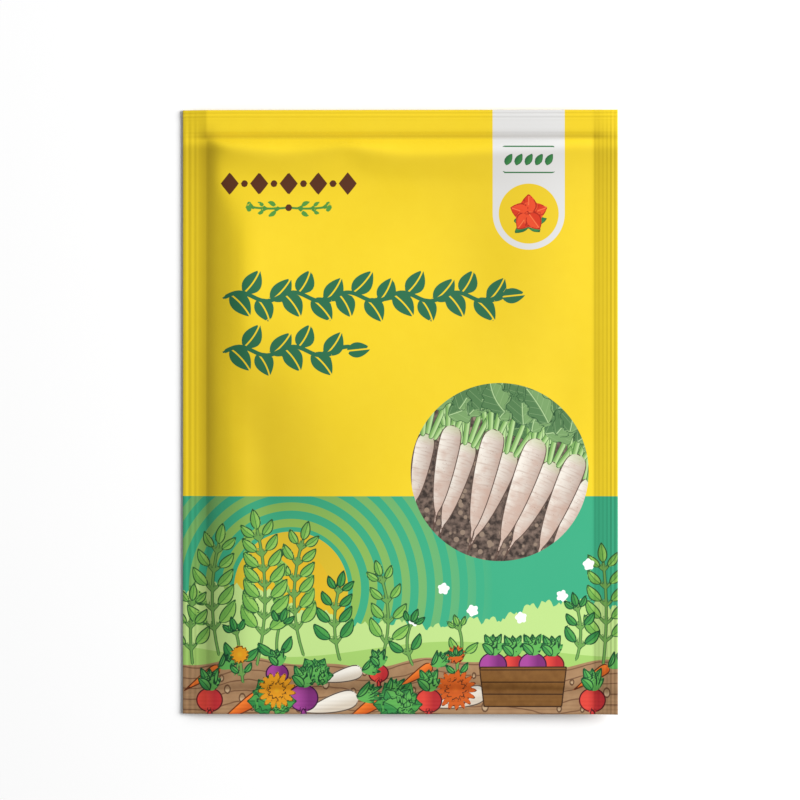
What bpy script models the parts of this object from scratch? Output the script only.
"""A seed packet: two webs of printed film, heat-sealed on all four sides and lightly puffed, with loose seeds inside.

The packet lies on its back. +X is its right side, +Y its top edge and +Z comes out of its printed front. The origin
is on the surface that it lies on, under the middle of the packet. Lengths are in metres.
"""

import math
import random

import bmesh
import bpy
import numpy as np
from mathutils import Matrix

# Driving dimensions of the pouch
PACKET_WIDTH = 0.090
PACKET_HEIGHT = 0.125
FILM_THICKNESS = 0.0002
SEAL_GAP = 0.0001
FRONT_PUFF = 0.0027
BACK_PUFF = 0.0020

# The seals lie on a slight slope: the right edge rests this much higher than the left one
SEAL_TILT = 0.0015

# Crimped seal bands: each is a whole number of ribs wide
RIB_PITCH = 0.00082
RIB_RISE = 0.00016
SIDE_RIBS = 6
TOP_RIBS = 7
BOTTOM_RIBS = 6

# How far inside its seals each web has risen to the full puff: (left, right, top, bottom)
FRONT_REACH = (0.009, 0.062, 0.012, 0.011)
BACK_REACH = (0.030, 0.040, 0.050, 0.050)
RISE_POWER = 1.5

# Soft folds of the front web
TOP_RIDGE = 0.00035
TOP_RIDGE_PLACE = 0.0030
TOP_RIDGE_WIDTH = 0.0030
SCALLOP_LENGTH = 0.034
SCALLOP_DEPTH = 0.0009
CORNER_TUCK = 0.0004
CORNER_TUCK_REACH = 0.020

# The back web is pressed flat where its bulge would pass the surface below it
BACK_OVERFILL = 1.05

# Grid of the pillow between the seals, with one close line where the crimps of the side seals end
PILLOW_COLUMNS = 18
PILLOW_ROWS = 26
EDGE_CROWDING = 0.5
RIB_END = 0.0004

# Seeds
SEED_DIAMETER = 0.0030
SEED_COUNT = 32
SEED_SINK = 0.10
SEED_CLEARANCE = 0.0003
SEED_LIFT = 0.0002
SEED_HEAP = (0.012, 0.018)
HEAP_CENTRE = (-0.010, -0.008)
SEED_SQUASH = 0.14
RANDOM_SEED = 12

# Places worked out from the sizes above
SEAL_LEVEL = BACK_PUFF + FILM_THICKNESS + SEAL_GAP / 2
INNER_LEFT = -PACKET_WIDTH / 2 + SIDE_RIBS * RIB_PITCH
INNER_RIGHT = -INNER_LEFT
INNER_TOP = PACKET_HEIGHT / 2 - TOP_RIBS * RIB_PITCH
INNER_BOTTOM = -PACKET_HEIGHT / 2 + BOTTOM_RIBS * RIB_PITCH

# Finishes: colour, roughness, metallic
FRONT_FINISH = ((0.940, 0.680, 0.035), 0.38, 0.0)
BACK_FINISH = ((0.870, 0.620, 0.040), 0.42, 0.0)
SEED_FINISH = ((0.300, 0.155, 0.075), 0.60, 0.0)


def clear_scene():
    """Remove every object of the opened file."""
    for obj in list(bpy.data.objects):
        bpy.data.objects.remove(obj, do_unlink=True)


def finish(name, values):
    """A Principled material from a colour, a roughness and a metallic value."""
    colour, roughness, metallic = values
    material = bpy.data.materials.new(name)
    material.use_nodes = True
    shader = material.node_tree.nodes["Principled BSDF"]
    shader.inputs["Base Color"].default_value = (*colour, 1.0)
    shader.inputs["Roughness"].default_value = roughness
    shader.inputs["Metallic"].default_value = metallic
    material.diffuse_color = (*colour, 1.0)
    return material


def add_object(name, mesh, material):
    """Put a mesh into the scene as one named piece."""
    mesh.materials.clear()
    mesh.materials.append(material)
    obj = bpy.data.objects.new(name, mesh)
    bpy.context.scene.collection.objects.link(obj)
    return obj


def crowded(low, high, cells):
    """Grid lines from low to high, closer together near both ends."""
    even = np.linspace(-1.0, 1.0, cells + 1)
    eased = (1.0 - EDGE_CROWDING) * even + EDGE_CROWDING * np.sin(even * math.pi / 2)
    return (low + high) / 2 + (high - low) / 2 * eased


def grid_lines(size, low_ribs, high_ribs, cells):
    """Lines across the packet: every crest and valley of both seals, with the pillow's own lines between."""
    low_seal = -size / 2 + np.arange(2 * low_ribs + 1) * RIB_PITCH / 2
    high_seal = size / 2 - np.arange(2 * high_ribs + 1)[::-1] * RIB_PITCH / 2
    pillow = crowded(low_seal[-1] + RIB_END, high_seal[0] - RIB_END, cells)
    return np.concatenate([low_seal, pillow, high_seal])


def rib_height(from_edge):
    """Height of the crimp at a distance from the packet's edge: a zigzag that starts in a valley."""
    phase = (from_edge / RIB_PITCH) % 1.0
    return RIB_RISE * (1.0 - abs(2.0 * phase - 1.0))


def rise(distance, reach):
    """Share of the full puff at a distance inside a seal: steep at the seal, level at the reach."""
    share = min(max(distance / reach, 0.0), 1.0)
    return 1.0 - (1.0 - share) ** RISE_POWER


def pillow_share(x, y, reach):
    """Share of the full puff over the pillow, 0 on all four seals."""
    left, right, top, bottom = reach
    across = rise(x - INNER_LEFT, left) * rise(INNER_RIGHT - x, right)
    along = rise(INNER_TOP - y, top) * rise(y - INNER_BOTTOM, bottom)
    return across * along


def on_pillow(x, y):
    """True between the four seals."""
    return INNER_LEFT < x < INNER_RIGHT and INNER_BOTTOM < y < INNER_TOP


def seal_level(x):
    """Height of the middle of the seals: it rises evenly from the left edge to the right one."""
    return SEAL_LEVEL + SEAL_TILT * x / PACKET_WIDTH


def seal_height(x, y):
    """Crimp of the seal bands. The end seals' ribs run the packet's full width, the side seals' between them."""
    if y >= INNER_TOP:
        return rib_height(PACKET_HEIGHT / 2 - y)
    if y <= INNER_BOTTOM:
        return rib_height(y + PACKET_HEIGHT / 2)
    return rib_height(PACKET_WIDTH / 2 - abs(x))


def front_folds(x, y):
    """Soft folds of the front web: a scalloped ridge under the top seal and a tuck in each corner."""
    below_top = INNER_TOP - y
    crest = TOP_RIDGE_PLACE + SCALLOP_DEPTH * math.cos(2 * math.pi * x / SCALLOP_LENGTH)
    ridge = TOP_RIDGE * math.exp(-(((below_top - crest) / TOP_RIDGE_WIDTH) ** 2))
    to_side = min(x - INNER_LEFT, INNER_RIGHT - x)
    to_end = min(below_top, y - INNER_BOTTOM)
    tuck = CORNER_TUCK * math.exp(-((math.hypot(to_side, to_end) / CORNER_TUCK_REACH) ** 2))
    return (ridge - tuck) * math.sqrt(pillow_share(x, y, FRONT_REACH))


def front_inner(x, y):
    """Inside face of the front web."""
    base = seal_level(x) + SEAL_GAP / 2
    if on_pillow(x, y):
        return base + FRONT_PUFF * pillow_share(x, y, FRONT_REACH) + front_folds(x, y)
    return base + seal_height(x, y)


def back_inner(x, y):
    """Inside face of the back web: it bulges down until it lies flat on the surface."""
    base = seal_level(x) - SEAL_GAP / 2
    if on_pillow(x, y):
        share = min(1.0, BACK_OVERFILL * pillow_share(x, y, BACK_REACH))
        return base - (base - FILM_THICKNESS) * share
    return base + seal_height(x, y)


def film_web(name, inside, outward, material):
    """One web of film: a grid laid over its inside face, then extruded to the film's thickness.

    outward is +1 for the front web, which thickens upwards, and -1 for the back web.
    """
    columns = grid_lines(PACKET_WIDTH, SIDE_RIBS, SIDE_RIBS, PILLOW_COLUMNS)
    rows = grid_lines(PACKET_HEIGHT, BOTTOM_RIBS, TOP_RIBS, PILLOW_ROWS)
    bm = bmesh.new()
    net = [[bm.verts.new((x, y, inside(x, y))) for x in columns] for y in rows]
    for lower, upper in zip(net, net[1:]):
        for a, b, c, d in zip(lower, lower[1:], upper[1:], upper):
            bm.faces.new((a, b, c))
            bm.faces.new((a, c, d))
    made = bmesh.ops.extrude_face_region(bm, geom=list(bm.faces))
    lifted = [item for item in made["geom"] if isinstance(item, bmesh.types.BMVert)]
    bmesh.ops.translate(bm, verts=lifted, vec=(0.0, 0.0, outward * FILM_THICKNESS))
    bmesh.ops.recalc_face_normals(bm, faces=list(bm.faces))
    mesh = bpy.data.meshes.new(name)
    bm.to_mesh(mesh)
    bm.free()
    mesh.shade_smooth()
    return add_object(name, mesh, material)


def seed_places():
    """Seed centres on the inside of the back web. Each new seed leans on one that is already there."""
    draw = random.Random(RANDOM_SEED)
    touch = SEED_DIAMETER * (1.0 - SEED_SINK)
    places = [HEAP_CENTRE]
    while len(places) < SEED_COUNT:
        near = draw.choice(places)
        turn = draw.uniform(0.0, 2 * math.pi)
        x = near[0] + touch * math.cos(turn)
        y = near[1] + touch * math.sin(turn)
        aside = (x - HEAP_CENTRE[0]) / SEED_HEAP[0]
        up = (y - HEAP_CENTRE[1]) / SEED_HEAP[1]
        inside = aside**2 + up**2 < 1.0
        clear = all(math.dist((x, y), other) > touch * 0.999 for other in places)
        if inside and clear:
            places.append((x, y))
    return places


def fuse(name, pieces, material):
    """One Boolean union of all the pieces, applied, with the loose pieces removed."""
    others = bpy.data.collections.new(f"{name}_others")
    bpy.context.scene.collection.children.link(others)
    base = pieces[0]
    bpy.context.scene.collection.objects.link(base)
    for piece in pieces[1:]:
        others.objects.link(piece)
    union = base.modifiers.new("fuse", "BOOLEAN")
    union.operation = "UNION"
    union.operand_type = "COLLECTION"
    union.collection = others
    bpy.context.view_layer.update()
    evaluated = base.evaluated_get(bpy.context.evaluated_depsgraph_get())
    mesh = bpy.data.meshes.new_from_object(evaluated)
    mesh.name = name
    for piece in pieces:
        bpy.data.objects.remove(piece, do_unlink=True)
    bpy.data.collections.remove(others)
    mesh.shade_smooth()
    return add_object(name, mesh, material)


def seed_heap(name, material):
    """The seeds: rounded grains on the back web, fused where they touch."""
    draw = random.Random(RANDOM_SEED + 1)
    floor = FILM_THICKNESS + SEED_CLEARANCE
    grains = []
    for number, (x, y) in enumerate(seed_places()):
        bm = bmesh.new()
        bmesh.ops.create_icosphere(bm, subdivisions=2, radius=SEED_DIAMETER / 2)
        bmesh.ops.scale(bm, vec=(1.0, 1.0, 1.0 - draw.uniform(0.0, SEED_SQUASH)), verts=bm.verts)
        turn = Matrix.Rotation(draw.uniform(0.0, 2 * math.pi), 4, "Z")
        height = floor + SEED_DIAMETER / 2 + draw.uniform(0.0, SEED_LIFT)
        bmesh.ops.transform(bm, matrix=Matrix.Translation((x, y, height)) @ turn, verts=bm.verts)
        mesh = bpy.data.meshes.new(f"grain_{number}")
        bm.to_mesh(mesh)
        bm.free()
        grains.append(bpy.data.objects.new(mesh.name, mesh))
    return fuse(name, grains, material)


clear_scene()
film_web("front_film", front_inner, 1.0, finish("printed_front_film", FRONT_FINISH))
film_web("back_film", back_inner, -1.0, finish("printed_back_film", BACK_FINISH))
seed_heap("seeds", finish("dry_seed_coat", SEED_FINISH))
